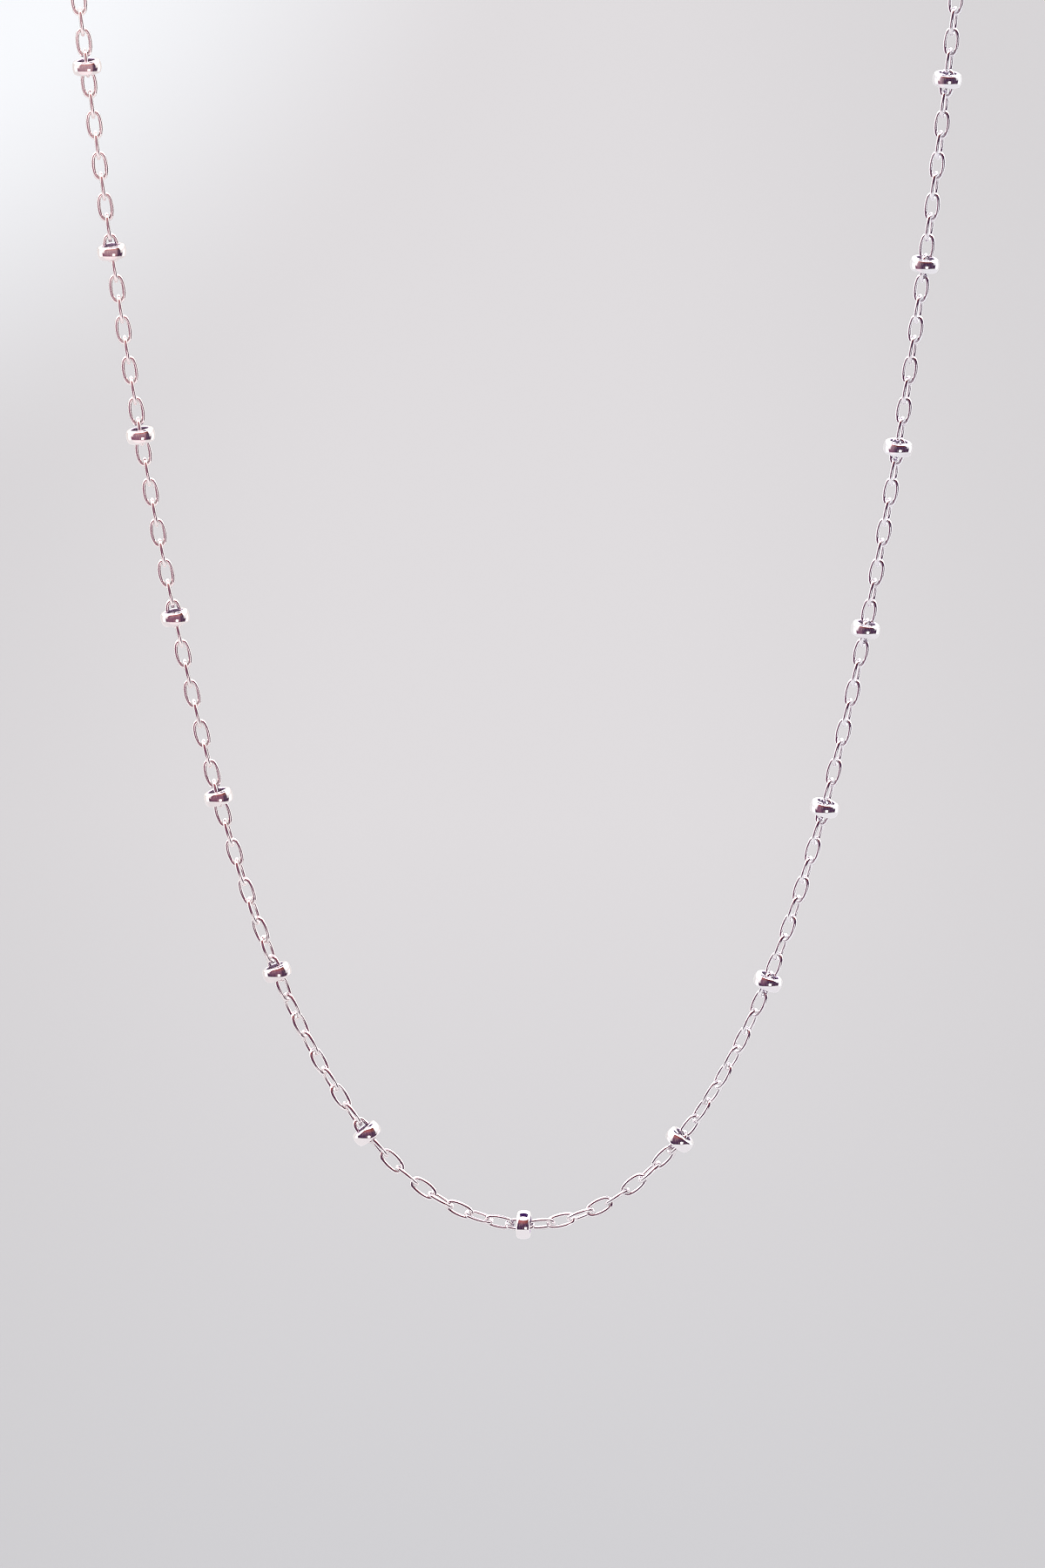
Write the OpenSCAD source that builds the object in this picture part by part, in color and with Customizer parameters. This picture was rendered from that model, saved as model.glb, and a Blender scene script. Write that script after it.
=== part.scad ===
// Station necklace: a fine oval-link cable chain with a small ring bead crimped round
// every ninth link, closed by a plain spring ring.
// It hangs as a whole loop in the XZ plane, +Z up, with the bead at the lowest point of
// the sag in the middle. The origin is under the crown, where the loop hangs.

/* [Chain] */
// Outer length of one link
link_len = 2.07; // [2.04:0.01:2.10]
// Outer width of one link
link_w = 1.12; // [1.08:0.01:1.14]
// Diameter of the wire that the links are bent from
wire_d = 0.24; // [0.22:0.01:0.25]
// Centreline radius of a link's two ends
end_r = 0.37; // [0.34:0.01:0.39]
// Gap between the wires of two links where one pulls on the next
link_play = 0.15; // [0.12:0.01:0.17]
// Links from one bead to the next
links_per_bead = 9; // [9:2:9]
// Beads on each side of the middle one
side_beads = 16; // [14:2:16]
// Links on each side of the middle one that are modelled as links
front_links = 68; // [60:1:68]

/* [Beads] */
// Outside diameter of a bead at its middle
bead_d = 2.02; // [1.90:0.01:2.10]
// Length of a bead along the chain
bead_len = 0.95; // [0.85:0.01:1.00]
// Bore of a bead
bore_d = 1.18; // [1.18:0.01:1.24]
// Rounding of a bead's outer edges
bead_edge = 0.20; // [0.08:0.01:0.22]
// Rounding of the mouth of a bead's bore
bore_edge = 0.07; // [0.03:0.01:0.09]
// How much a bead is slimmer at its rims than at its middle, on the radius
bead_belly = 0.12; // [0.03:0.01:0.14]
// How far a bead sits past the middle of its own link
bead_shift = 0.27; // [0.22:0.01:0.32]

/* [Loop] */
// Radius of the hanging curve at its lowest point
sag_r = 10.2; // [9:0.1:12]
// Straight stretch on each side of the crown, where the clasp lies
crown_flat = 4.2; // [4:0.1:5]
// Diameter of the back chain's plain outer form
back_d = 0.90; // [0.80:0.01:0.94]
// Rings along each stretch of back chain
back_rings = 40; // [36:1:40]

/* [Clasp] */
// Outside diameter of the spring ring
clasp_d = 5.5; // [5.4:0.1:5.8]
// Wire diameter of the spring ring
clasp_wire = 0.8; // [0.7:0.05:0.8]
// Outside diameter of the ring at the chain's other end
end_ring_d = 2.2; // [2.1:0.05:2.4]
// Outside diameter of the clasp's eye
eye_d = 1.54; // [1.5:0.02:1.6]
// Wire diameter of the end ring and of the clasp's eye
ring_wire = 0.34; // [0.30:0.01:0.34]
// Length of the clasp's thumb knob
knob_len = 0.9; // [0.6:0.1:1.2]

/* [Hidden] */
$fn = 48;

// Roll of the chain about its own line, in degrees, by link number from the middle one.
// Odd links stand a quarter turn from the even ones. At 0 an even link lies in the
// plane of the loop. The slack links at the bottom take up most of the twist.
// [link number, roll]
ROLL = [
    [-152, -90], [-68, -7], [-32, -9], [-25, 2], [-21, 15], [-17, 35], [-14, 43],
    [-10, 57], [-6, 74], [-3, 100], [0, 119], [2, 138], [3, 146], [4, 157], [6, 180],
    [8, 202], [12, 222], [17, 238], [24, 245], [34, 253], [68, 256], [152, 360],
];

pitch = link_len - 2 * wire_d - link_play;
last_link = links_per_bead * (side_beads + 1) - 1;

// A link's centreline is a four-centre oval: two end arcs of end_r and two side arcs.
half_l = (link_len - wire_d) / 2;
half_w = (link_w - wire_d) / 2;
end_x = half_l - end_r;
side_y = (pow(end_x, 2) - pow(half_w - end_r, 2)) / (2 * (half_w - end_r));
side_r = half_w + side_y;
turn = atan2(side_y, end_x);

// Distance along the loop from the lowest point to the middle of link j
function link_s(j) = j * pitch - bead_shift;

// The closing pieces lie in one row at the crown, each hooked into the next.
// Where the end ring and the eye cross the last links, past the links' inner ends
cross = 0.40;
crown_gap = (ring_wire + clasp_wire) / 2 + link_play;
ring_c = (end_ring_d - ring_wire) / 2;
clasp_c = (clasp_d - clasp_wire) / 2;
eye_c = (eye_d - ring_wire) / 2;
eye_x = clasp_c + (clasp_wire + ring_wire) / 2 + eye_c - 0.37;
row = 2 * ring_c - crown_gap + clasp_c + eye_x + eye_c;
reach = half_l - wire_d / 2 - cross;
left_cross = -link_s(-last_link) + reach;
right_cross = link_s(last_link) + reach;
half_loop = (left_cross + right_cross + row) / 2;
ring_x = ring_c - (half_loop - left_cross);
clasp_x = ring_x + ring_c - crown_gap + clasp_c;

// The loop's line: a catenary up to a distance t from its lowest point, then an arc,
// then the straight crown. The arc meets both with no kink, and t gives the length.
function sag_x(t) = sag_r * ln(t / sag_r + sqrt(pow(t / sag_r, 2) + 1));
function sag_z(t) = sqrt(pow(sag_r, 2) + pow(t, 2)) - sag_r;
function sag_turn(t) = atan(t / sag_r);
function arch_r(t) = (sag_x(t) - crown_flat) / sin(sag_turn(t));
function length_at(t) = t + arch_r(t) * (180 - sag_turn(t)) * PI / 180 + crown_flat;
function solve(lo, hi, n) =
    n == 0 ? (lo + hi) / 2
    : length_at((lo + hi) / 2) > half_loop ? solve(lo, (lo + hi) / 2, n - 1)
    : solve((lo + hi) / 2, hi, n - 1);
sag_end = solve(60, 210, 40);
top_r = arch_r(sag_end);
top_z = sag_z(sag_end) + top_r * (1 + cos(sag_turn(sag_end)));
crown_z = end_ring_d / 2;

// Heading of the line at distance s, in degrees from +X towards +Z
function heading(s) =
    let (t = abs(s), side = s < 0 ? -1 : 1)
    side * (t <= sag_end ? sag_turn(t)
        : min(180, sag_turn(sag_end) + (t - sag_end) / top_r * 180 / PI));

// Point of the line at distance s
function at(s) =
    let (t = abs(s), side = s < 0 ? -1 : 1, h = abs(heading(s)))
    t <= sag_end ? [side * sag_x(t), 0, sag_z(t) - top_z + crown_z]
    : t < half_loop - crown_flat
        ? [side * (crown_flat + top_r * sin(h)), 0, crown_z - top_r * (1 + cos(h))]
    : [side * (half_loop - t), 0, crown_z];

// Moves its children to the line at distance s, with +X along it
module along(s) {
    translate(at(s)) rotate([0, -heading(s), 0]) children();
}

// Part of a wire ring in the XY plane, from one angle over a sweep
module wire_arc(r, d, from, sweep) {
    rotate([0, 0, from]) rotate_extrude(angle = sweep) translate([r, 0]) circle(d = d);
}

module wire_ring(r, d) {
    rotate_extrude() translate([r, 0]) circle(d = d);
}

// One oval link, long along X, in the XY plane. The end arcs are a hair thicker than the
// side arcs and lap over them, which closes the wire into one ring.
module link() {
    lap = 2;
    for (half = [0, 180]) rotate([0, 0, half]) {
        translate([end_x, 0, 0]) wire_arc(end_r, wire_d * 1.01, -turn - lap, 2 * (turn + lap));
        translate([0, -side_y, 0]) wire_arc(side_r, wire_d, turn, 180 - 2 * turn);
    }
}

// Half section of a bead: bore at the left, bellied wall at the right, rounded edges
module bead_section() {
    in_r = bore_d / 2;
    out_r = bead_d / 2;
    half = bead_len / 2;
    belly_r = (pow(half, 2) + pow(bead_belly, 2)) / (2 * bead_belly);
    intersection() {
        union() {
            translate([in_r + bore_edge, -half])
                square([out_r - in_r - bead_edge - bore_edge, bead_len]);
            translate([in_r, bore_edge - half])
                square([bore_edge * 2, bead_len - 2 * bore_edge]);
            translate([out_r - 2 * bead_edge, bead_edge - half])
                square([bead_edge * 2, bead_len - 2 * bead_edge]);
            for (side = [-1, 1]) {
                translate([in_r + bore_edge, side * (half - bore_edge)])
                    circle(r = bore_edge);
                translate([out_r - bead_edge, side * (half - bead_edge)])
                    circle(r = bead_edge);
            }
        }
        translate([out_r - belly_r, 0]) circle(r = belly_r);
    }
}

// Bead number n from the middle, on link n * links_per_bead
module bead(n) {
    color("silver")
        along(link_s(n * links_per_bead))
            translate([bead_shift, 0, 0]) rotate([0, 90, 0])
                rotate_extrude() bead_section();
}

// Links number a to b from the middle one, each through the next
module links(a, b) {
    for (j = [a : b])
        along(link_s(j))
            rotate([90 + lookup(j, ROLL) + 90 * (abs(j) % 2), 0, 0]) link();
}

module front_chain_left() {
    color("gainsboro") links(-front_links, -1);
}

module front_chain_right() {
    color("gainsboro") links(0, front_links);
}

// Plain round form of the finer back stretch, swept from distance s0 to s1
module back_chain(s0, s1) {
    sides = 8;
    n = back_rings;
    points = [
        for (i = [0 : n - 1], k = [0 : sides - 1])
            let (
                s = s0 + (s1 - s0) * i / (n - 1),
                h = heading(s),
                a = 360 * k / sides + 22.5,
                r = back_d / 2
            )
            at(s) + r * [-sin(h) * cos(a), sin(a), cos(h) * cos(a)]
    ];
    walls = [
        for (i = [0 : n - 2], k = [0 : sides - 1])
            let (k2 = (k + 1) % sides)
            [i * sides + k, i * sides + k2, (i + 1) * sides + k2, (i + 1) * sides + k]
    ];
    caps = [
        [for (k = [sides - 1 : -1 : 0]) k],
        [for (k = [0 : sides - 1]) (n - 1) * sides + k],
    ];
    color("gainsboro") polyhedron(points, concat(walls, caps), convexity = 10);
}

front_end = front_links * pitch + link_len / 2 + 0.1;

module back_chain_left() {
    back_chain(-half_loop - ring_x + ring_c + ring_wire / 2 + 0.15, -front_end - bead_shift);
}

module back_chain_right() {
    back_chain(front_end - bead_shift, half_loop - clasp_x - eye_x - eye_d / 2 - 0.15);
}

// Ring at the left end of the chain, which the clasp hooks into
module end_ring() {
    color("silver")
        translate([ring_x, 0, crown_z]) rotate([90, 0, 0]) wire_ring(ring_c, ring_wire);
}

// Spring ring with its eye for the chain's right end and its thumb knob
module clasp() {
    color("silver") translate([clasp_x, 0, crown_z]) {
        wire_ring(clasp_c, clasp_wire);
        translate([eye_x, 0, 0]) wire_ring(eye_c, ring_wire);
        rotate([0, 0, 60]) translate([clasp_c, 0, 0]) rotate([0, 90, 0])
            cylinder(d = clasp_wire * 0.6, h = knob_len);
    }
}

function two(n) = n < 10 ? str("0", n) : str(n);
BEADS = [for (n = [-side_beads : side_beads]) str("bead_", two(n + side_beads + 1))];

for (n = [-side_beads : side_beads])
    bead(n);
front_chain_left();
front_chain_right();
back_chain_left();
back_chain_right();
end_ring();
clasp();
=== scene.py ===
"""Station necklace of fine silver cable chain with small ring beads, hanging in one loop."""
import math

import bpy
import numpy as np
from mathutils import Matrix, Vector


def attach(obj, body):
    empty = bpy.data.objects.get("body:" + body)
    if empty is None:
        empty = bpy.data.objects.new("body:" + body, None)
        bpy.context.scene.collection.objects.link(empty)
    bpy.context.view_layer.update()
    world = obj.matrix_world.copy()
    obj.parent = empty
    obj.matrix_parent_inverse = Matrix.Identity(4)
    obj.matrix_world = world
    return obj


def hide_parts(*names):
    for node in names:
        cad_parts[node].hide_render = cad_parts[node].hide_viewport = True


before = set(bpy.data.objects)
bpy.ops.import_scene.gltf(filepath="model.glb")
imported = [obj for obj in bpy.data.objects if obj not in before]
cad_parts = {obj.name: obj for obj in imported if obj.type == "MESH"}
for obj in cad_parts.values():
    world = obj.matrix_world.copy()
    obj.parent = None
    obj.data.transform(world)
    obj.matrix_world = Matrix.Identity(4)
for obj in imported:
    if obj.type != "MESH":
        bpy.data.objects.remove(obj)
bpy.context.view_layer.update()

# Front chain. A cable chain of round silver wire: each oval link passes through the next
# and is soldered shut. Links hang alternately face on and edge on, and the slack ones at
# the bottom let the chain turn about itself. Its sizes are in millimetres.
MM = 0.001
LINK_LENGTH = 2.07
LINK_WIDTH = 1.12
# The link is laid out for the finer wire, which keeps it clear of the next link's, and is
# drawn with the stouter one.
WIRE = 0.24
WIRE_SHOWN = 0.265
LINK_END_RADIUS = 0.37
LINK_PITCH = 1.44
FRONT_LINKS = 68
LAST_LINK = 152
BEAD_SHIFT = 0.27
SAG_RADIUS = 10.2
CROWN_FLAT = 4.2
HALF_LOOP = 222.895
CROWN_HEIGHT = 1.1
# The catenary's half length lies between these two, and so many halvings find it.
SAG_SEARCH = (60.0, 210.0)
HALVINGS = 50

# The chain's roll about its own line, in degrees, at these link numbers.
ROLL_LINK = [-152, -68, -32, -25, -21, -17, -14, -10, -6, -3, 0, 2, 3, 4, 6, 8,
             12, 17, 24, 34, 68, 152]
ROLL_DEGREES = [-90, -7, -9, 2, 15, 35, 43, 57, 74, 100, 119, 138, 146, 157, 180, 202,
                222, 238, 245, 253, 256, 360]
# Degrees by which a link rolls off its neighbours, and two steps that never repeat.
LOOSE_ROLL = 2.5
LOOSE_STEPS = (2.399, 0.731)

# Sides of the wire's section, steps along a front link's wire, and the share of each
# quarter's steps that falls on its end arc.
WIRE_SIDES = 8
FRONT_STEPS = 20
END_SHARE = 0.62

# The silver's base colour carries a painted reflection tint: warm on the left half of the loop and
# cool on the right.
SILVER_PAINTED_WARM_LEFT = "#FAF1EF"
SILVER_PAINTED_COOL_RIGHT = "#F4F2F6"
SILVER_FILM = "#CDBFC2"
# The painted reflection tint turns from left to right over this far either side of the middle.
PAINTED_TINT_REACH = 30
FILM_FROM, FILM_TO, FILM_MOST = 0.45, 0.75, 0.35
MARKS_FROM, MARKS_TO = 0.3, 0.7
DENT_STRENGTH = 0.12
CLOUD_DETAIL = 3.0


def arch_radius(sag_end):
    """Radius of the arc that carries the catenary on, with no kink, to the straight crown."""
    across = SAG_RADIUS * math.asinh(sag_end / SAG_RADIUS) - CROWN_FLAT
    return across / math.sin(math.atan(sag_end / SAG_RADIUS))


def solved_sag_end():
    """Length of the catenary's half, found by halving, that gives the loop its full length."""
    low, high = SAG_SEARCH
    for _ in range(HALVINGS):
        middle = (low + high) / 2
        sweep = math.pi - math.atan(middle / SAG_RADIUS)
        longer = middle + arch_radius(middle) * sweep + CROWN_FLAT > HALF_LOOP
        low, high = (low, middle) if longer else (middle, high)
    return (low + high) / 2


SAG_END = solved_sag_end()
ARCH_RADIUS = arch_radius(SAG_END)
SAG_TURN = math.atan(SAG_END / SAG_RADIUS)
SAG_TOP = math.hypot(SAG_RADIUS, SAG_END) - SAG_RADIUS
LOOP_HEIGHT = SAG_TOP + ARCH_RADIUS * (1 + math.cos(SAG_TURN))


def loop_line(s):
    """Points (n, 3) and headings (n,) of the hanging loop at distances s from its lowest point.
    A catenary x = a asinh(s/a), z = sqrt(a^2 + s^2) - a, then an arc, then a straight crown."""
    t, side = np.abs(s), np.where(s < 0, -1.0, 1.0)
    turn = np.minimum(math.pi, SAG_TURN + (t - SAG_END) / ARCH_RADIUS)
    turn = np.where(t <= SAG_END, np.arctan(t / SAG_RADIUS), turn)
    sag = [SAG_RADIUS * np.arcsinh(t / SAG_RADIUS),
           np.hypot(SAG_RADIUS, t) - SAG_RADIUS - LOOP_HEIGHT + CROWN_HEIGHT]
    arch = [CROWN_FLAT + ARCH_RADIUS * np.sin(turn),
            CROWN_HEIGHT - ARCH_RADIUS * (1 + np.cos(turn))]
    crown = [HALF_LOOP - t, np.full_like(t, CROWN_HEIGHT)]
    parts = [t <= SAG_END, t < HALF_LOOP - CROWN_FLAT]
    x = np.select(parts, [sag[0], arch[0]], crown[0])
    z = np.select(parts, [sag[1], arch[1]], crown[1])
    return np.stack([side * x, np.zeros_like(x), z], axis=-1), side * turn


def oval_wire(sides, steps):
    """Surface (steps, sides, 3) of one link lying in XY: a circle of the wire's section carried
    along a four-centre oval, which is two end arcs of the end radius and two flat side arcs.
    The circle's few sides stand out a little, so that they enclose the round wire's area."""
    half_l, half_w = (LINK_LENGTH - WIRE) / 2, (LINK_WIDTH - WIRE) / 2
    end_x = half_l - LINK_END_RADIUS
    drop = (end_x ** 2 - (half_w - LINK_END_RADIUS) ** 2) / (2 * (half_w - LINK_END_RADIUS))
    turn = math.atan2(drop, end_x)
    side_radius = half_w + drop
    u = np.arange(steps) / steps * 4
    quarter = np.floor(u).astype(int)
    f = np.where(quarter % 2 == 0, u % 1, 1 - u % 1)
    on_end = f < END_SHARE
    a = np.where(on_end, turn * f / END_SHARE,
                 turn + (math.pi / 2 - turn) * (f - END_SHARE) / (1 - END_SHARE))
    x = np.where(on_end, end_x + LINK_END_RADIUS * np.cos(a), side_radius * np.cos(a))
    y = np.where(on_end, LINK_END_RADIUS * np.sin(a), side_radius * np.sin(a) - drop)
    sign_x = np.where((quarter == 0) | (quarter == 3), 1.0, -1.0)
    sign_y = np.where(quarter < 2, 1.0, -1.0)
    normal = np.stack([sign_x * np.cos(a), sign_y * np.sin(a)], axis=-1)
    v = np.arange(sides) / sides * 2 * math.pi
    corner = WIRE_SHOWN / 2 * math.sqrt(2 * math.pi / sides / math.sin(2 * math.pi / sides))
    out = np.cos(v)[None, :, None] * normal[:, None, :] * corner
    flat = np.stack([sign_x * x, sign_y * y], axis=-1)[:, None, :] + out
    up = np.broadcast_to(np.sin(v)[None, :, None] * corner, flat.shape[:2] + (1,))
    return np.concatenate([flat, up], axis=-1)


def placed(shape, s, roll):
    """Copies (n, ..., 3) of a shape: turned about X by roll, then headed along the loop at s."""
    here, heading = loop_line(s)
    cr, sr = np.cos(roll), np.sin(roll)
    ch, sh = np.cos(heading), np.sin(heading)
    zero, one = np.zeros_like(cr), np.ones_like(cr)
    spin = np.array([[one, zero, zero], [zero, cr, -sr], [zero, sr, cr]])
    head = np.array([[ch, zero, -sh], [zero, one, zero], [sh, zero, ch]])
    turn = np.einsum("ijn,jkn->nik", head, spin)
    flat = shape.reshape(-1, 3)
    out = np.einsum("nij,mj->nmi", turn, flat) + here[:, None, :]
    return out.reshape((len(s),) + shape.shape)


def closed_rings(copies):
    """Faces of n surfaces (n, rings, around, 3) that close both ways, as one quad list."""
    n, rings, around = copies.shape[:3]
    i, k = np.meshgrid(np.arange(rings), np.arange(around), indexing="ij")
    i2, k2 = (i + 1) % rings, (k + 1) % around
    quad = np.stack([i * around + k, i2 * around + k, i2 * around + k2, i * around + k2], -1)
    start = np.arange(n)[:, None, None] * rings * around
    return (start + quad.reshape(1, -1, 4)).reshape(-1, 4)


def new_piece(name, points, quads, triangles=None):
    """A mesh piece at the origin from points in millimetres and faces, shaded smooth."""
    mesh = bpy.data.meshes.new(name)
    triangles = np.zeros((0, 3), int) if triangles is None else triangles
    corners = np.concatenate([quads.reshape(-1), triangles.reshape(-1)]).astype(np.int32)
    sizes = np.repeat([4, 3], [len(quads), len(triangles)])
    starts = np.concatenate([[0], np.cumsum(sizes)[:-1]]).astype(np.int32)
    mesh.vertices.add(points.size // 3)
    mesh.vertices.foreach_set("co", (points.reshape(-1) * MM).astype(np.float32))
    mesh.loops.add(len(corners))
    mesh.loops.foreach_set("vertex_index", corners)
    mesh.polygons.add(len(sizes))
    mesh.polygons.foreach_set("loop_start", starts)
    mesh.update(calc_edges=True)
    mesh.validate()
    mesh.shade_smooth()
    piece = bpy.data.objects.new(name, mesh)
    bpy.context.scene.collection.objects.link(piece)
    return piece


def srgb(hex_colour):
    """Linear RGBA of an sRGB hex colour."""
    levels = np.array([int(hex_colour[i:i + 2], 16) for i in (1, 3, 5)]) / 255
    linear = np.where(levels <= 0.04045, levels / 12.92, ((levels + 0.055) / 1.055) ** 2.4)
    return (*linear.tolist(), 1.0)


def add_node(tree, kind, settings=None, **links):
    """Adds a node. Settings are its attributes; links are input values or (node, output), by
    the input's name or, after an underscore, its number."""
    node = tree.nodes.new(kind)
    for key, value in (settings or {}).items():
        setattr(node, key, value)
    for key, value in links.items():
        socket = node.inputs[int(key[1:])] if key[0] == "_" else node.inputs[key.replace("_", " ")]
        if isinstance(value, tuple) and len(value) == 2 and isinstance(value[0], bpy.types.Node):
            tree.links.new(value[0].outputs[value[1]], socket)
        else:
            socket.default_value = value
    return node


def link_roll(j):
    """Roll in radians of links j: the chain's own twist, with a quarter turn on odd links."""
    return np.radians(90 + np.interp(j, ROLL_LINK, ROLL_DEGREES) + 90 * (np.abs(j) % 2))


def chain_of_links(name, first, last, steps):
    """One mesh of the links numbered first to last, each rolled a little off its neighbours by
    the product of two waves of its number."""
    j = np.arange(first, last + 1)
    loose = np.radians(LOOSE_ROLL) * np.sin(j * LOOSE_STEPS[0]) * np.cos(j * LOOSE_STEPS[1])
    link = oval_wire(WIRE_SIDES, steps)
    links = placed(link, j * LINK_PITCH - BEAD_SHIFT, link_roll(j) + loose)
    return new_piece(name, links, closed_rings(links))


def polished_silver(name, film_mm, mark_mm, smooth, rough, dent_mm):
    """Silver material: a painted reflection tint that goes from warm on the left to cool on the
    right, a thin grey film in patches of film_mm, and handling marks of mark_mm, which set the
    roughness between smooth and rough and press dents of dent_mm."""
    silver = bpy.data.materials.new(name)
    silver.use_nodes = True
    tree = silver.node_tree
    bsdf = tree.nodes["Principled BSDF"]
    where = add_node(tree, "ShaderNodeTexCoord")
    axes = add_node(tree, "ShaderNodeSeparateXYZ", Vector=(where, "Object"))
    # Painted reflection tint: the base colour turns from warm on the left to cool on the right.
    side = add_node(tree, "ShaderNodeMapRange", Value=(axes, "X"), From_Min=-PAINTED_TINT_REACH * MM,
                    From_Max=PAINTED_TINT_REACH * MM)
    silver_with_painted_tint = add_node(tree, "ShaderNodeMix", {"data_type": "RGBA"}, _0=(side, 0),
                     _6=srgb(SILVER_PAINTED_WARM_LEFT), _7=srgb(SILVER_PAINTED_COOL_RIGHT))
    cloud = add_node(tree, "ShaderNodeTexNoise", Vector=(where, "Object"), Detail=CLOUD_DETAIL,
                     Scale=1 / (film_mm * MM))
    film = add_node(tree, "ShaderNodeMapRange", Value=(cloud, 0), From_Min=FILM_FROM,
                    From_Max=FILM_TO, To_Min=0.0, To_Max=FILM_MOST)
    tone = add_node(tree, "ShaderNodeMix", {"data_type": "RGBA"}, _0=(film, 0), _6=(silver_with_painted_tint, 2),
                    _7=srgb(SILVER_FILM))
    marks = add_node(tree, "ShaderNodeTexNoise", Vector=(where, "Object"), Detail=CLOUD_DETAIL,
                     Scale=1 / (mark_mm * MM))
    gloss = add_node(tree, "ShaderNodeMapRange", Value=(marks, 0), From_Min=MARKS_FROM,
                     From_Max=MARKS_TO, To_Min=smooth, To_Max=rough)
    dent = add_node(tree, "ShaderNodeBump", Height=(marks, 0), Strength=DENT_STRENGTH,
                    Distance=dent_mm * MM)
    bsdf.inputs["Metallic"].default_value = 1.0
    tree.links.new(tone.outputs[2], bsdf.inputs["Base Color"])
    tree.links.new(gloss.outputs["Result"], bsdf.inputs["Roughness"])
    tree.links.new(dent.outputs["Normal"], bsdf.inputs["Normal"])
    return silver


# Sterling silver wire, drawn, bent, soldered and barrel polished: a bright white metal with
# soft handling marks, and a thin grey film where fingers and cloth don't reach. Real marks
# are some hundredths of a millimetre wide, and are drawn coarser here so that they show.
chain_silver = polished_silver("polished_silver_wire", film_mm=2.4, mark_mm=0.19,
                               smooth=0.12, rough=0.19, dent_mm=0.006)

for side, first, last in (("left", -FRONT_LINKS, -1), ("right", 0, FRONT_LINKS)):
    links = chain_of_links("front_links_" + side, first, last, FRONT_STEPS)
    links.data.materials.append(chain_silver)
    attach(links, "root")
    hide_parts("front_chain_" + side)

# Back chain. The same chain runs on over the shoulders to the clasp. Its plain round forms
# in the frame give way to the real links here, with a few steps less along each.
BACK_STEPS = 16

for side, first, last in (("left", -LAST_LINK, -FRONT_LINKS - 1),
                          ("right", FRONT_LINKS + 1, LAST_LINK)):
    links = chain_of_links("back_links_" + side, first, last, BACK_STEPS)
    links.data.materials.append(chain_silver)
    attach(links, "root")
    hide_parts("back_chain_" + side)

# Ring beads. Short pieces of thick silver tube, turned with a slight belly and rounded
# rims, slipped over every ninth link and pressed to stay there.
BEAD_DIAMETER = 2.02
BEAD_LENGTH = 0.95
BEAD_BORE = 1.18
BEAD_EDGE = 0.20
BEAD_MOUTH = 0.07
BEAD_BELLY = 0.12
SIDE_BEADS = 16
LINKS_PER_BEAD = 9
EDGE_STEPS = 6
BELLY_STEPS = 11
BEAD_SEGMENTS = 56

# Tarnish reaches this far out from the bore's wall and is full this much nearer to it.
TARNISH_REACH = 0.06
TARNISH_FADE = 0.05
TARNISH = "#C0B2C8"
TARNISH_ROUGHNESS = 0.5


def bead_profile():
    """Closed section (n, 2) as radius and height: a bore, two small quarter rounds at its
    mouth, flat rims, two larger quarter rounds and a wall that bellies on one wide arc."""
    half, inner, outer = BEAD_LENGTH / 2, BEAD_BORE / 2, BEAD_DIAMETER / 2
    belly_radius = (half ** 2 + BEAD_BELLY ** 2) / (2 * BEAD_BELLY)
    tip = math.asin((half - BEAD_EDGE) / (belly_radius - BEAD_EDGE))
    belly = np.linspace(-tip, tip, BELLY_STEPS)
    wall = np.stack([outer - belly_radius + belly_radius * np.cos(belly),
                     belly_radius * np.sin(belly)], -1)
    top = np.linspace(tip, math.pi / 2, EDGE_STEPS)[1:]
    centre = (outer - belly_radius + (belly_radius - BEAD_EDGE) * math.cos(tip),
              half - BEAD_EDGE)
    shoulder = np.stack([centre[0] + BEAD_EDGE * np.cos(top),
                         centre[1] + BEAD_EDGE * np.sin(top)], -1)
    mouth = np.linspace(math.pi / 2, math.pi, EDGE_STEPS)
    lip = np.stack([inner + BEAD_MOUTH + BEAD_MOUTH * np.cos(mouth),
                    half - BEAD_MOUTH + BEAD_MOUTH * np.sin(mouth)], -1)
    upper = np.concatenate([shoulder, lip])
    lower = upper[::-1] * [1, -1]
    return np.concatenate([wall, upper, lower])


def turned(profile, segments):
    """Surface (rings, segments, 3): the profile's (radius, height) spun about the X axis."""
    a = np.arange(segments) / segments * 2 * math.pi
    r, h = profile[:, 0][:, None], profile[:, 1][:, None]
    return np.stack([h + 0 * a, r * np.cos(a), r * np.sin(a)], -1)


bead_numbers = np.arange(-SIDE_BEADS, SIDE_BEADS + 1)
section = bead_profile()
bead = turned(section, BEAD_SEGMENTS)
bead[..., 0] += BEAD_SHIFT
bead_s = bead_numbers * LINKS_PER_BEAD * LINK_PITCH - BEAD_SHIFT
beads = placed(bead, bead_s, np.zeros(len(bead_numbers)))
bead_quads = closed_rings(beads)[:, ::-1]
ring_beads = new_piece("ring_beads", beads, bead_quads)
inside = np.clip((BEAD_BORE / 2 + TARNISH_REACH - section[:, 0]) / TARNISH_FADE, 0, 1)
tarnish = ring_beads.data.attributes.new("tarnish", "FLOAT", "POINT")
tarnish.data.foreach_set("value", np.broadcast_to(inside[:, None], beads.shape[:3]).ravel())

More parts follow.
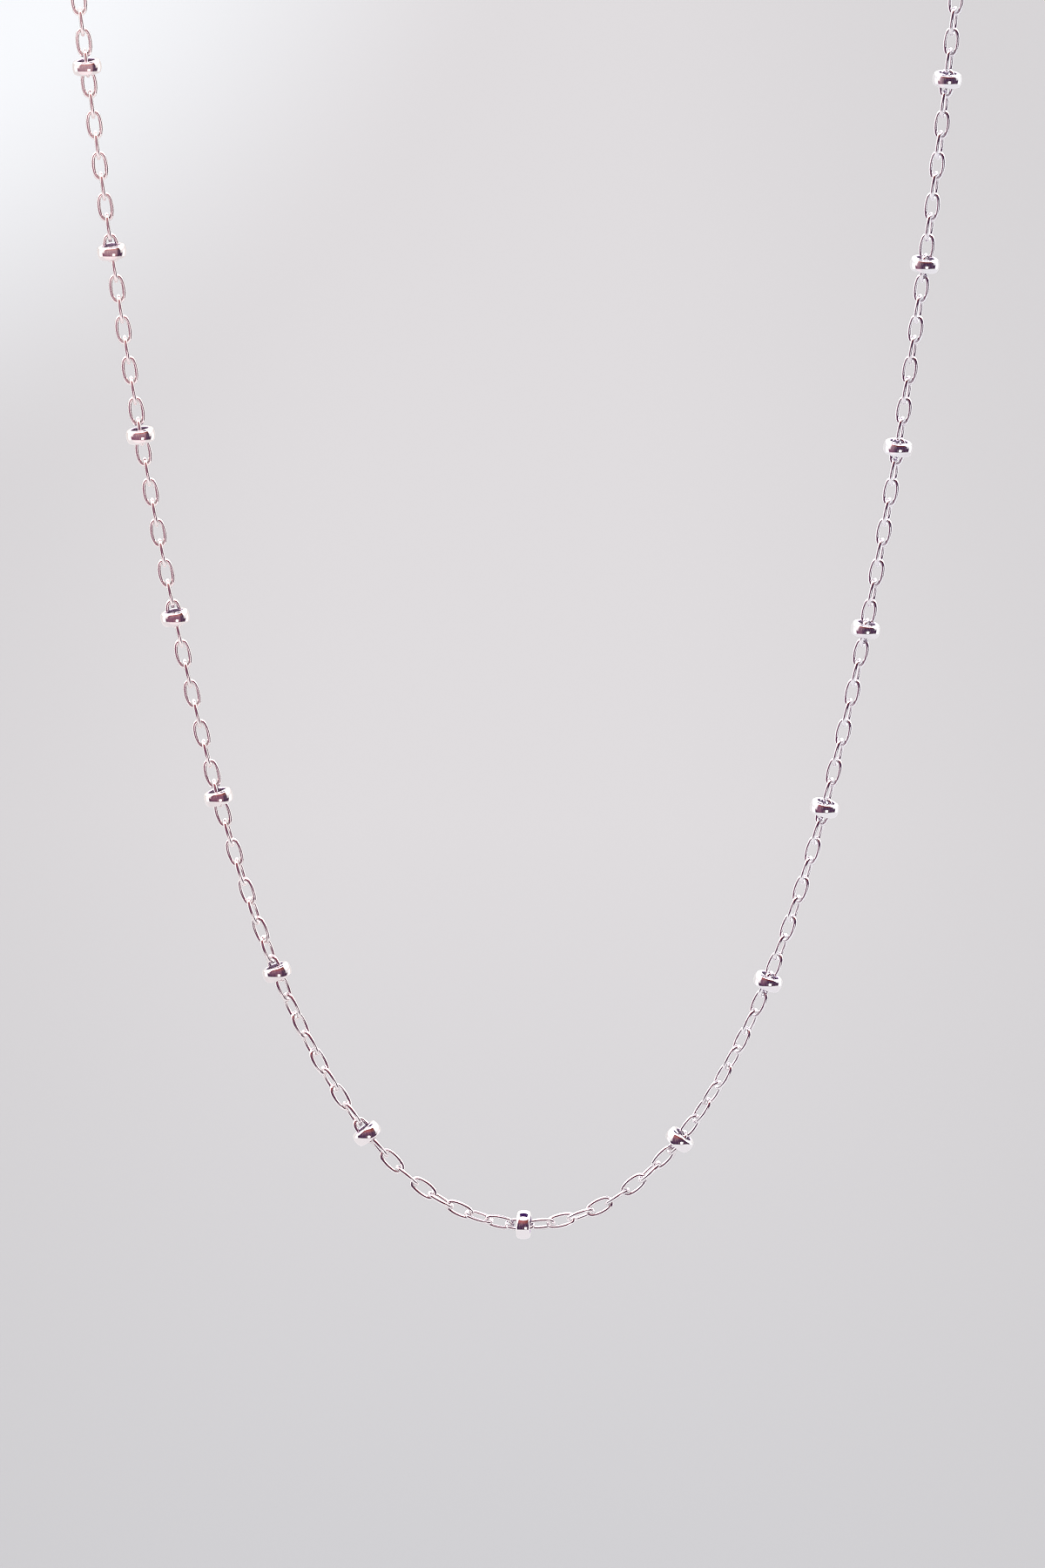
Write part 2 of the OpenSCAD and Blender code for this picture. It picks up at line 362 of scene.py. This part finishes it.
# Turned and tumbled sterling silver: mirror bright, with small dents from the tumbling and
# a soft grey film. The bores, where no polish reaches, are dull and greyed by tarnish.
bead_silver = polished_silver("turned_silver_beads", film_mm=1.4, mark_mm=0.26,
                              smooth=0.05, rough=0.11, dent_mm=0.012)
tree = bead_silver.node_tree
colour = tree.nodes["Principled BSDF"].inputs["Base Color"]
gloss = tree.nodes["Principled BSDF"].inputs["Roughness"]
worn = add_node(tree, "ShaderNodeAttribute", {"attribute_name": "tarnish"})
greyed = add_node(tree, "ShaderNodeMix", {"data_type": "RGBA"}, _0=(worn, "Fac"),
                  _7=srgb(TARNISH))
tree.links.new(colour.links[0].from_socket, greyed.inputs[6])
tree.links.new(greyed.outputs[2], colour)
dulled = add_node(tree, "ShaderNodeMix", _0=(worn, "Fac"), _3=TARNISH_ROUGHNESS)
tree.links.new(gloss.links[0].from_socket, dulled.inputs[2])
tree.links.new(dulled.outputs[0], gloss)
ring_beads.data.materials.append(bead_silver)
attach(ring_beads, "root")
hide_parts(*["bead_%02d" % n for n in range(1, 2 * SIDE_BEADS + 2)])

# Closing ring. A small soldered ring of thicker wire on the chain's left end, standing in
# the loop's plane, for the clasp to hook into.
RING_WIRE = 0.34
RING_SIDES = 16
END_RING_RADIUS = 0.93
END_RING_X = -2.42
END_RING_STEPS = 56


def wire_ring(radius, wire, rings, around):
    """Surface (rings, around, 3) in XY: a circle of wire carried round a circle of radius."""
    u = (np.arange(rings) / rings * 2 * math.pi)[:, None]
    v = (np.arange(around) / around * 2 * math.pi)[None, :]
    reach = radius + wire / 2 * np.cos(v)
    return np.stack([reach * np.cos(u), reach * np.sin(u), wire / 2 * np.sin(v) + 0 * u], -1)


lying = wire_ring(END_RING_RADIUS, RING_WIRE, END_RING_STEPS, RING_SIDES)
ring = lying[..., [0, 2, 1]] * [1, -1, 1] + [END_RING_X, 0, CROWN_HEIGHT]
end_ring = new_piece("end_ring_wire", ring, closed_rings(ring[None]))

# Bright cast and tumbled silver of the findings: like the wire, a little softer, with
# small pits from the casting.
clasp_silver = polished_silver("tumbled_silver_findings", film_mm=1.1, mark_mm=0.33,
                               smooth=0.09, rough=0.22, dent_mm=0.04)
end_ring.data.materials.append(clasp_silver)
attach(end_ring, "root")
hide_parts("end_ring")

# Clasp. A plain spring ring of silver tube, lying flat at the nape: a thinner gate closes
# it, a thumb knob slides in a slot, and an eye takes the last link of the right side.
CLASP_RADIUS = 2.35
CLASP_TUBE = 0.8
CLASP_X = 0.14
CLASP_STEPS = 240
CLASP_SIDES = 32
EYE_RADIUS = 0.6
EYE_X = 3.15
EYE_STEPS = 44
GATE_FROM, GATE_TO, GATE_SLIM = 104, 158, 0.09
SLOT_FROM, SLOT_TO, SLOT_WIDTH, SLOT_DEPTH = 58, 94, 22, 0.10
KNOB_ANGLE = 60
KNOB_STEM, KNOB_HEAD, KNOB_LENGTH = 0.17, 0.24, 0.9
KNOB_NECK = 0.36
KNOB_HEAD_FROM, KNOB_HEAD_TO, KNOB_HEAD_STEPS = -45, 85.5, 12
KNOB_SEGMENTS = 20


def spring_ring_tube(rings, around):
    """The clasp's ring: a torus whose tube radius drops by a step along the gate, and by the
    slot's depth where an angle window and a window round the tube's outer side overlap."""
    u = np.arange(rings) / rings * 360
    v = np.arange(around) / around * 360
    gate = ((u > GATE_FROM) & (u < GATE_TO))[:, None]
    outer = np.minimum(v, 360 - v)[None, :] < SLOT_WIDTH
    slot = ((u > SLOT_FROM) & (u < SLOT_TO))[:, None] & outer
    r = CLASP_TUBE / 2 - GATE_SLIM * gate - SLOT_DEPTH * slot
    u, v = np.radians(u)[:, None], np.radians(v)[None, :]
    reach = CLASP_RADIUS + r * np.cos(v)
    return np.stack([reach * np.cos(u), reach * np.sin(u), r * np.sin(v)], -1)


def thumb_knob():
    """Points (n, 3), quads and end triangles of the knob: a straight stem under part of a
    circle, spun about X and closed by a fan at each end, then turned to its place on the ring."""
    arc = np.radians(np.linspace(KNOB_HEAD_FROM, KNOB_HEAD_TO, KNOB_HEAD_STEPS))
    head = np.stack([KNOB_HEAD * np.cos(arc),
                     KNOB_LENGTH - KNOB_HEAD + KNOB_HEAD * np.sin(arc)], -1)
    profile = np.concatenate([[[KNOB_STEM, 0.0], [KNOB_STEM, KNOB_NECK]], head])
    side = turned(profile, KNOB_SEGMENTS)
    rows, cols = side.shape[:2]
    flat = np.concatenate([side.reshape(-1, 3), [[0, 0, 0], [KNOB_LENGTH, 0, 0]]])
    a = math.radians(KNOB_ANGLE)
    aside = np.array([[math.cos(a), math.sin(a), 0], [-math.sin(a), math.cos(a), 0], [0, 0, 1]])
    wall = closed_rings(side[None])[:(rows - 1) * cols][:, ::-1]
    k = np.arange(cols)
    last, tip = (rows - 1) * cols, rows * cols
    foot = np.stack([(k + 1) % cols, k, 0 * k + tip], -1)
    top = np.stack([last + k, last + (k + 1) % cols, 0 * k + tip + 1], -1)
    return (flat + [CLASP_RADIUS, 0, 0]) @ aside, wall, np.concatenate([foot, top])


tube = spring_ring_tube(CLASP_STEPS, CLASP_SIDES)
eye = wire_ring(EYE_RADIUS, RING_WIRE, EYE_STEPS, RING_SIDES) + [EYE_X, 0, 0]
knob, knob_wall, knob_ends = thumb_knob()
tube_count, eye_count = tube.size // 3, eye.size // 3
points = np.concatenate([tube.reshape(-1, 3), eye.reshape(-1, 3), knob])
quads = np.concatenate([closed_rings(tube[None]), closed_rings(eye[None]) + tube_count,
                        knob_wall + tube_count + eye_count])
clasp = new_piece("spring_ring", points + [CLASP_X, 0, CROWN_HEIGHT], quads,
                  knob_ends + tube_count + eye_count)
clasp.data.materials.append(clasp_silver)
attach(clasp, "root")
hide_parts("clasp")

# Floor. A wide sheet of pale paper well below the hanging loop, with painted light: lighter
# further back, paler along its middle, and a soft painted pool of light at the back left.
# Its sizes are in metres.
FLOOR_HALF = 6
FLOOR_HEIGHT = -0.300
PAPER_ROUGHNESS = 0.9
# The paper's tone carries painted light: it is lighter further back.
PAPER_NEAR, PAPER_FAR_LIT = "#ACACAE", "#B9B7B8"
PAPER_FAR_FROM, PAPER_FAR_TO = 0.27, 0.55
# The paler band runs from front to back under the loop, and the shade is full beside it.
SHADE = "#A9A8A9"
SHADE_ACROSS = (1.0, 0.106, 0.0)
SHADE_FROM, SHADE_TO, SHADE_MOST = 0.012, 0.065, 0.45
# The painted pool of light is an ellipse five times as deep as wide, and its place is given
# with X squeezed to match.
LIGHT_POOL = "#CED0D2"
POOL_SQUEEZE = (5.0, 1.0, 0.0)
POOL_PLACE = (-0.77, 0.93, 0.0)
POOL_FULL, POOL_END = 0.02, 0.30


def flat_stage(name, corners, material):
    """A stage piece of one flat face through the corners, in metres."""
    mesh = bpy.data.meshes.new(name)
    mesh.from_pydata(corners, [], [tuple(range(len(corners)))])
    mesh.materials.append(material)
    stage = bpy.data.objects.new(name, mesh)
    bpy.context.scene.collection.objects.link(stage)
    return stage


# Matt pale paper, rolled out, with no gloss, so its specular level is 0. Its tone carries
# painted light: lighter further back, painted shade beside a paler middle band, and a painted
# pool of light at the back left.
paper = bpy.data.materials.new("pale_paper_painted_light")
paper.use_nodes = True
tree = paper.node_tree
bsdf = tree.nodes["Principled BSDF"]
bsdf.inputs["Roughness"].default_value = PAPER_ROUGHNESS
bsdf.inputs["Specular IOR Level"].default_value = 0.0
where = add_node(tree, "ShaderNodeTexCoord")
axes = add_node(tree, "ShaderNodeSeparateXYZ", Vector=(where, "Object"))
# Painted light: the paper turns lighter further back.
lit_further_back = add_node(tree, "ShaderNodeMapRange", Value=(axes, "Y"), From_Min=PAPER_FAR_FROM,
                From_Max=PAPER_FAR_TO)
sheet = add_node(tree, "ShaderNodeMix", {"data_type": "RGBA"}, _0=(lit_further_back, 0),
                 _6=srgb(PAPER_NEAR), _7=srgb(PAPER_FAR_LIT))
# Painted shade on both sides of a paler middle band.
across = add_node(tree, "ShaderNodeVectorMath", {"operation": "DOT_PRODUCT"},
                  _0=(where, "Object"), _1=SHADE_ACROSS)
aside = add_node(tree, "ShaderNodeMath", {"operation": "ABSOLUTE"}, _0=(across, "Value"))
shade = add_node(tree, "ShaderNodeMapRange", {"interpolation_type": "SMOOTHSTEP"},
                 Value=(aside, 0), From_Min=SHADE_FROM, From_Max=SHADE_TO, To_Max=SHADE_MOST)
dim = add_node(tree, "ShaderNodeMix", {"data_type": "RGBA"}, _0=(shade, 0), _6=(sheet, 2),
               _7=srgb(SHADE))
# Painted pool of light at the back left.
squeeze = add_node(tree, "ShaderNodeMapping", Vector=(where, "Object"), Scale=POOL_SQUEEZE)
off = add_node(tree, "ShaderNodeVectorMath", {"operation": "DISTANCE"}, _0=(squeeze, 0),
               _1=POOL_PLACE)
light_pool = add_node(tree, "ShaderNodeMapRange", {"interpolation_type": "SMOOTHSTEP"},
                Value=(off, "Value"), From_Min=POOL_FULL, From_Max=POOL_END, To_Min=1.0,
                To_Max=0.0)
lit = add_node(tree, "ShaderNodeMix", {"data_type": "RGBA"}, _0=(light_pool, 0), _6=(dim, 2),
               _7=srgb(LIGHT_POOL))
tree.links.new(lit.outputs[2], bsdf.inputs["Base Color"])

floor = flat_stage("studio_floor", [(x * FLOOR_HALF, y * FLOOR_HALF, FLOOR_HEIGHT)
                                    for x, y in ((-1, -1), (1, -1), (1, 1), (-1, 1))], paper)
floor.visible_glossy = False

# Haze. A see-through sheet of warm light close in front of the upper left part, which only
# mirrors see: it lifts the dark reflections there and fades out downward and to the right.
HAZE_LEFT, HAZE_RIGHT = -0.150, 0.025
HAZE_Y = -0.030
HAZE_LOW, HAZE_HIGH = -0.215, -0.020
HAZE_PLUM, HAZE_WARM = "#734D55", "#AC9090"
WARM_FROM, WARM_TO = -0.150, -0.105
FADE_LOW_FROM, FADE_LOW_TO = -0.195, -0.160
FADE_RIGHT_FROM, FADE_RIGHT_TO = -0.005, 0.025

# Lit haze: light added to what is behind it, plum low down and warm grey higher up.
glow_sheet = bpy.data.materials.new("haze_glow")
glow_sheet.use_nodes = True
tree = glow_sheet.node_tree
tree.nodes.clear()
where = add_node(tree, "ShaderNodeTexCoord")
axes = add_node(tree, "ShaderNodeSeparateXYZ", Vector=(where, "Object"))
high = add_node(tree, "ShaderNodeMapRange", {"interpolation_type": "SMOOTHSTEP"},
                Value=(axes, "Z"), From_Min=WARM_FROM, From_Max=WARM_TO)
down = add_node(tree, "ShaderNodeMapRange", {"interpolation_type": "SMOOTHSTEP"},
                Value=(axes, "Z"), From_Min=FADE_LOW_FROM, From_Max=FADE_LOW_TO)
left = add_node(tree, "ShaderNodeMapRange", {"interpolation_type": "SMOOTHSTEP"},
                Value=(axes, "X"), From_Min=FADE_RIGHT_FROM, From_Max=FADE_RIGHT_TO,
                To_Min=1.0, To_Max=0.0)
tone = add_node(tree, "ShaderNodeMix", {"data_type": "RGBA"}, _0=(high, 0),
                _6=srgb(HAZE_PLUM), _7=srgb(HAZE_WARM))
fade = add_node(tree, "ShaderNodeMath", {"operation": "MULTIPLY"}, _0=(down, 0), _1=(left, 0))
glow = add_node(tree, "ShaderNodeEmission", Color=(tone, 2), Strength=(fade, 0))
clear = add_node(tree, "ShaderNodeBsdfTransparent")
both = add_node(tree, "ShaderNodeAddShader", _0=(glow, 0), _1=(clear, 0))
add_node(tree, "ShaderNodeOutputMaterial", Surface=(both, 0))

haze = flat_stage("warm_haze", [(HAZE_LEFT, HAZE_Y, HAZE_LOW), (HAZE_RIGHT, HAZE_Y, HAZE_LOW),
                                (HAZE_RIGHT, HAZE_Y, HAZE_HIGH), (HAZE_LEFT, HAZE_Y, HAZE_HIGH)],
                  glow_sheet)
haze.visible_camera = False
haze.visible_diffuse = False
haze.visible_shadow = False

# Studio light. Soft white light all round over a pale table, with the dark room behind the
# camera that polished silver always shows, a softbox on each side and one small lamp.
# Tones of light are linear and may pass 1, and each FROM and TO is a height in degrees.
TABLE_LOW, TABLE_HIGH = (0.88, 0.87, 0.89, 1.0), (0.88, 0.87, 0.86, 1.0)
TABLE_FROM, TABLE_TO = -34, -8
SKY = (2.30, 2.27, 2.32, 1.0)
SKY_FROM, SKY_TO = 4, 32
ROOM_LOW, ROOM_HIGH = "#523A55", "#8F4F49"
ROOM_FROM, ROOM_TO = 14, 34
# The streaks' noise is read at azimuth and height in radians, drawn out to stand upright.
STREAKS = "#93827E"
STREAK_SCALE = (5.0, 1.6, 1.0)
STREAK_DETAIL = 2.0
STREAK_FROM, STREAK_TO, STREAK_MOST = 0.52, 0.66, 0.6

CEILING_HATCH = "#4A2A66"
SOFTBOX = (1.25, 1.24, 1.26, 1.0)
LAMP = (1.7, 1.7, 1.7, 1.0)
FLOOR_LIGHT = (1.43, 1.42, 1.43, 1.0)
BACKDROP = "#E6E7EA"

world = bpy.data.worlds.new("soft_white_studio")
bpy.context.scene.world = world
world.use_nodes = True
tree = world.node_tree
tree.nodes.clear()
way = add_node(tree, "ShaderNodeTexCoord")
axes = add_node(tree, "ShaderNodeSeparateXYZ", Vector=(way, "Generated"))
toward = add_node(tree, "ShaderNodeMath", {"operation": "MULTIPLY"}, _0=(axes, "Y"), _1=-1.0)
azimuth = add_node(tree, "ShaderNodeMath", {"operation": "ARCTAN2"}, _0=(axes, "X"),
                   _1=(toward, 0))
rise = add_node(tree, "ShaderNodeMath", {"operation": "ARCSINE"}, _0=(axes, "Z"))
tilt = add_node(tree, "ShaderNodeMath", {"operation": "ARCSINE"}, _0=(axes, "X"))
lean = add_node(tree, "ShaderNodeMath", {"operation": "ARCTAN2"}, _0=(axes, "Y"),
                _1=(axes, "Z"))


def window(angle, middle, half, soft):
    """1 where the angle is within half of middle, falling smoothly to 0 over soft degrees."""
    off = add_node(tree, "ShaderNodeMath", {"operation": "SUBTRACT"}, _0=(angle, 0),
                   _1=math.radians(middle))
    size = add_node(tree, "ShaderNodeMath", {"operation": "ABSOLUTE"}, _0=(off, 0))
    return add_node(tree, "ShaderNodeMapRange", {"interpolation_type": "SMOOTHSTEP"},
                    Value=(size, 0), From_Min=math.radians(half - soft / 2),
                    From_Max=math.radians(half + soft / 2), To_Min=1.0, To_Max=0.0)


def patch(wide, tall):
    """Mask of a patch of directions: the product of a window across and a window of height."""
    both = add_node(tree, "ShaderNodeMath", {"operation": "MULTIPLY"},
                    _0=(window(*wide), 0), _1=(window(*tall), 0))
    return both, 0


low = add_node(tree, "ShaderNodeMapRange", {"interpolation_type": "SMOOTHSTEP"},
               Value=(rise, 0), From_Min=math.radians(TABLE_FROM),
               From_Max=math.radians(TABLE_TO))
table = add_node(tree, "ShaderNodeMix", {"data_type": "RGBA"}, _0=(low, 0), _6=TABLE_LOW,
                 _7=TABLE_HIGH)
up = add_node(tree, "ShaderNodeMapRange", {"interpolation_type": "SMOOTHSTEP"},
              Value=(rise, 0), From_Min=math.radians(SKY_FROM), From_Max=math.radians(SKY_TO))

# The room is plum low down and brown higher up, with pale upright streaks of clutter.
edge = add_node(tree, "ShaderNodeMapRange", Value=(rise, 0), From_Min=math.radians(ROOM_FROM),
                From_Max=math.radians(ROOM_TO))
walls = add_node(tree, "ShaderNodeMix", {"data_type": "RGBA"}, _0=(edge, 0),
                 _6=srgb(ROOM_LOW), _7=srgb(ROOM_HIGH))
angles = add_node(tree, "ShaderNodeCombineXYZ", X=(azimuth, 0), Y=(rise, 0))
stretch = add_node(tree, "ShaderNodeMapping", Vector=(angles, 0), Scale=STREAK_SCALE)
clutter = add_node(tree, "ShaderNodeTexNoise", Vector=(stretch, 0), Scale=1.0,
                   Detail=STREAK_DETAIL)
streak = add_node(tree, "ShaderNodeMapRange", {"interpolation_type": "SMOOTHSTEP"},
                  Value=(clutter, 0), From_Min=STREAK_FROM, From_Max=STREAK_TO,
                  To_Max=STREAK_MOST)
room = add_node(tree, "ShaderNodeMix", {"data_type": "RGBA"}, _0=(streak, 0), _6=(walls, 2),
                _7=srgb(STREAKS))

# Each layer is a mask and the tone that it lays over the ones before: the sky, the dark room,
# its low wings, a hatch overhead, the softboxes and the lamp. The last two give the floor one
# even light and the picture one plain backdrop. A patch is given by its middle, its half size
# and its softness in degrees, first across and then in height.
seen = add_node(tree, "ShaderNodeLightPath")
layers = [
    ((up, 0), SKY),
    (patch((azimuth, 12, 69, 18), (rise, 12, 37, 9)), (room, 2)),
    (patch((azimuth, 12, 87, 14), (rise, -15, 11, 10)), (room, 2)),
    (patch((tilt, 1, 26, 8), (lean, 9, 20, 6)), srgb(CEILING_HATCH)),
    (patch((azimuth, -92, 17, 7), (rise, -10, 16, 7)), SOFTBOX),
    (patch((azimuth, 118, 17, 7), (rise, -10, 16, 7)), SOFTBOX),
    (patch((azimuth, 22, 10, 5), (rise, -15, 8.5, 5)), LAMP),
    ((seen, "Is Diffuse Ray"), FLOOR_LIGHT),
    ((seen, "Is Camera Ray"), srgb(BACKDROP)),
]
light = table
for mask, tone in layers:
    light = add_node(tree, "ShaderNodeMix", {"data_type": "RGBA"}, _0=mask, _6=(light, 2),
                     _7=tone)
sky = add_node(tree, "ShaderNodeBackground", Color=(light, 2), Strength=1.0)
add_node(tree, "ShaderNodeOutputWorld", Surface=(sky, 0))

# Camera. A long lens looks a little down and from the wearer's left, at the photograph's
# angle, with the frame's top cutting through both sides of the loop.
CAMERA_AZIMUTH = math.radians(5.8)
CAMERA_ELEVATION = math.radians(14)
CAMERA_ROLL = math.radians(0.375)
CAMERA_DISTANCE = 1.4
PIXELS_PER_MM = 16.77
# A point of the loop's plane, so many millimetres over its lowest point, is seen at a pixel.
AIM_HEIGHT = 40.0
AIM_PIXEL = (597.2, 758.3)
FRAME_PIXELS = (1200.0, 1800.0)
SENSOR = 36.0

forward = Vector((-math.sin(CAMERA_AZIMUTH) * math.cos(CAMERA_ELEVATION),
                  math.cos(CAMERA_AZIMUTH) * math.cos(CAMERA_ELEVATION),
                  -math.sin(CAMERA_ELEVATION)))
right = Vector((math.cos(CAMERA_AZIMUTH), math.sin(CAMERA_AZIMUTH), 0))
above = right.cross(forward)
tilted_right = right * math.cos(CAMERA_ROLL) - above * math.sin(CAMERA_ROLL)
tilted_up = right * math.sin(CAMERA_ROLL) + above * math.cos(CAMERA_ROLL)
aim = Vector((0, 0, (CROWN_HEIGHT - LOOP_HEIGHT + AIM_HEIGHT) * MM))
to_centre = (FRAME_PIXELS[0] / 2 - AIM_PIXEL[0], FRAME_PIXELS[1] / 2 - AIM_PIXEL[1])
centre = aim + (tilted_right * to_centre[0] - tilted_up * to_centre[1]) * MM / PIXELS_PER_MM
camera_data = bpy.data.cameras.new("camera")
camera_data.sensor_fit = "VERTICAL"
camera_data.sensor_height = SENSOR
camera_data.lens = SENSOR * CAMERA_DISTANCE / (FRAME_PIXELS[1] / PIXELS_PER_MM * MM)
camera = bpy.data.objects.new("camera", camera_data)
bpy.context.scene.collection.objects.link(camera)
pose = Matrix((tilted_right, tilted_up, -forward)).transposed().to_4x4()
pose.translation = centre - forward * CAMERA_DISTANCE
camera.matrix_world = pose
bpy.context.scene.camera = camera
bpy.context.scene.view_settings.view_transform = "Standard"

# The camera's own sharpening: a light edge filter over the finished picture, which works on
# the clipped tones as they are shown and not on the light itself.
SHARPENING = 0.18
SHOWN_GAMMA = 2.2

bpy.context.scene.use_nodes = True
tree = bpy.context.scene.node_tree
tree.nodes.clear()
picture = add_node(tree, "CompositorNodeRLayers")
clipped = add_node(tree, "CompositorNodeMixRGB", {"use_clamp": True}, _0=0.0,
                   _1=(picture, "Image"))
toned = add_node(tree, "CompositorNodeGamma", Image=(clipped, 0), Gamma=1 / SHOWN_GAMMA)
crisp = add_node(tree, "CompositorNodeFilter", {"filter_type": "SHARPEN_DIAMOND"},
                 Fac=SHARPENING, Image=(toned, 0))
trimmed = add_node(tree, "CompositorNodeMixRGB", {"use_clamp": True}, _0=0.0, _1=(crisp, 0))
plain = add_node(tree, "CompositorNodeGamma", Image=(trimmed, 0), Gamma=SHOWN_GAMMA)
add_node(tree, "CompositorNodeComposite", Image=(plain, 0))
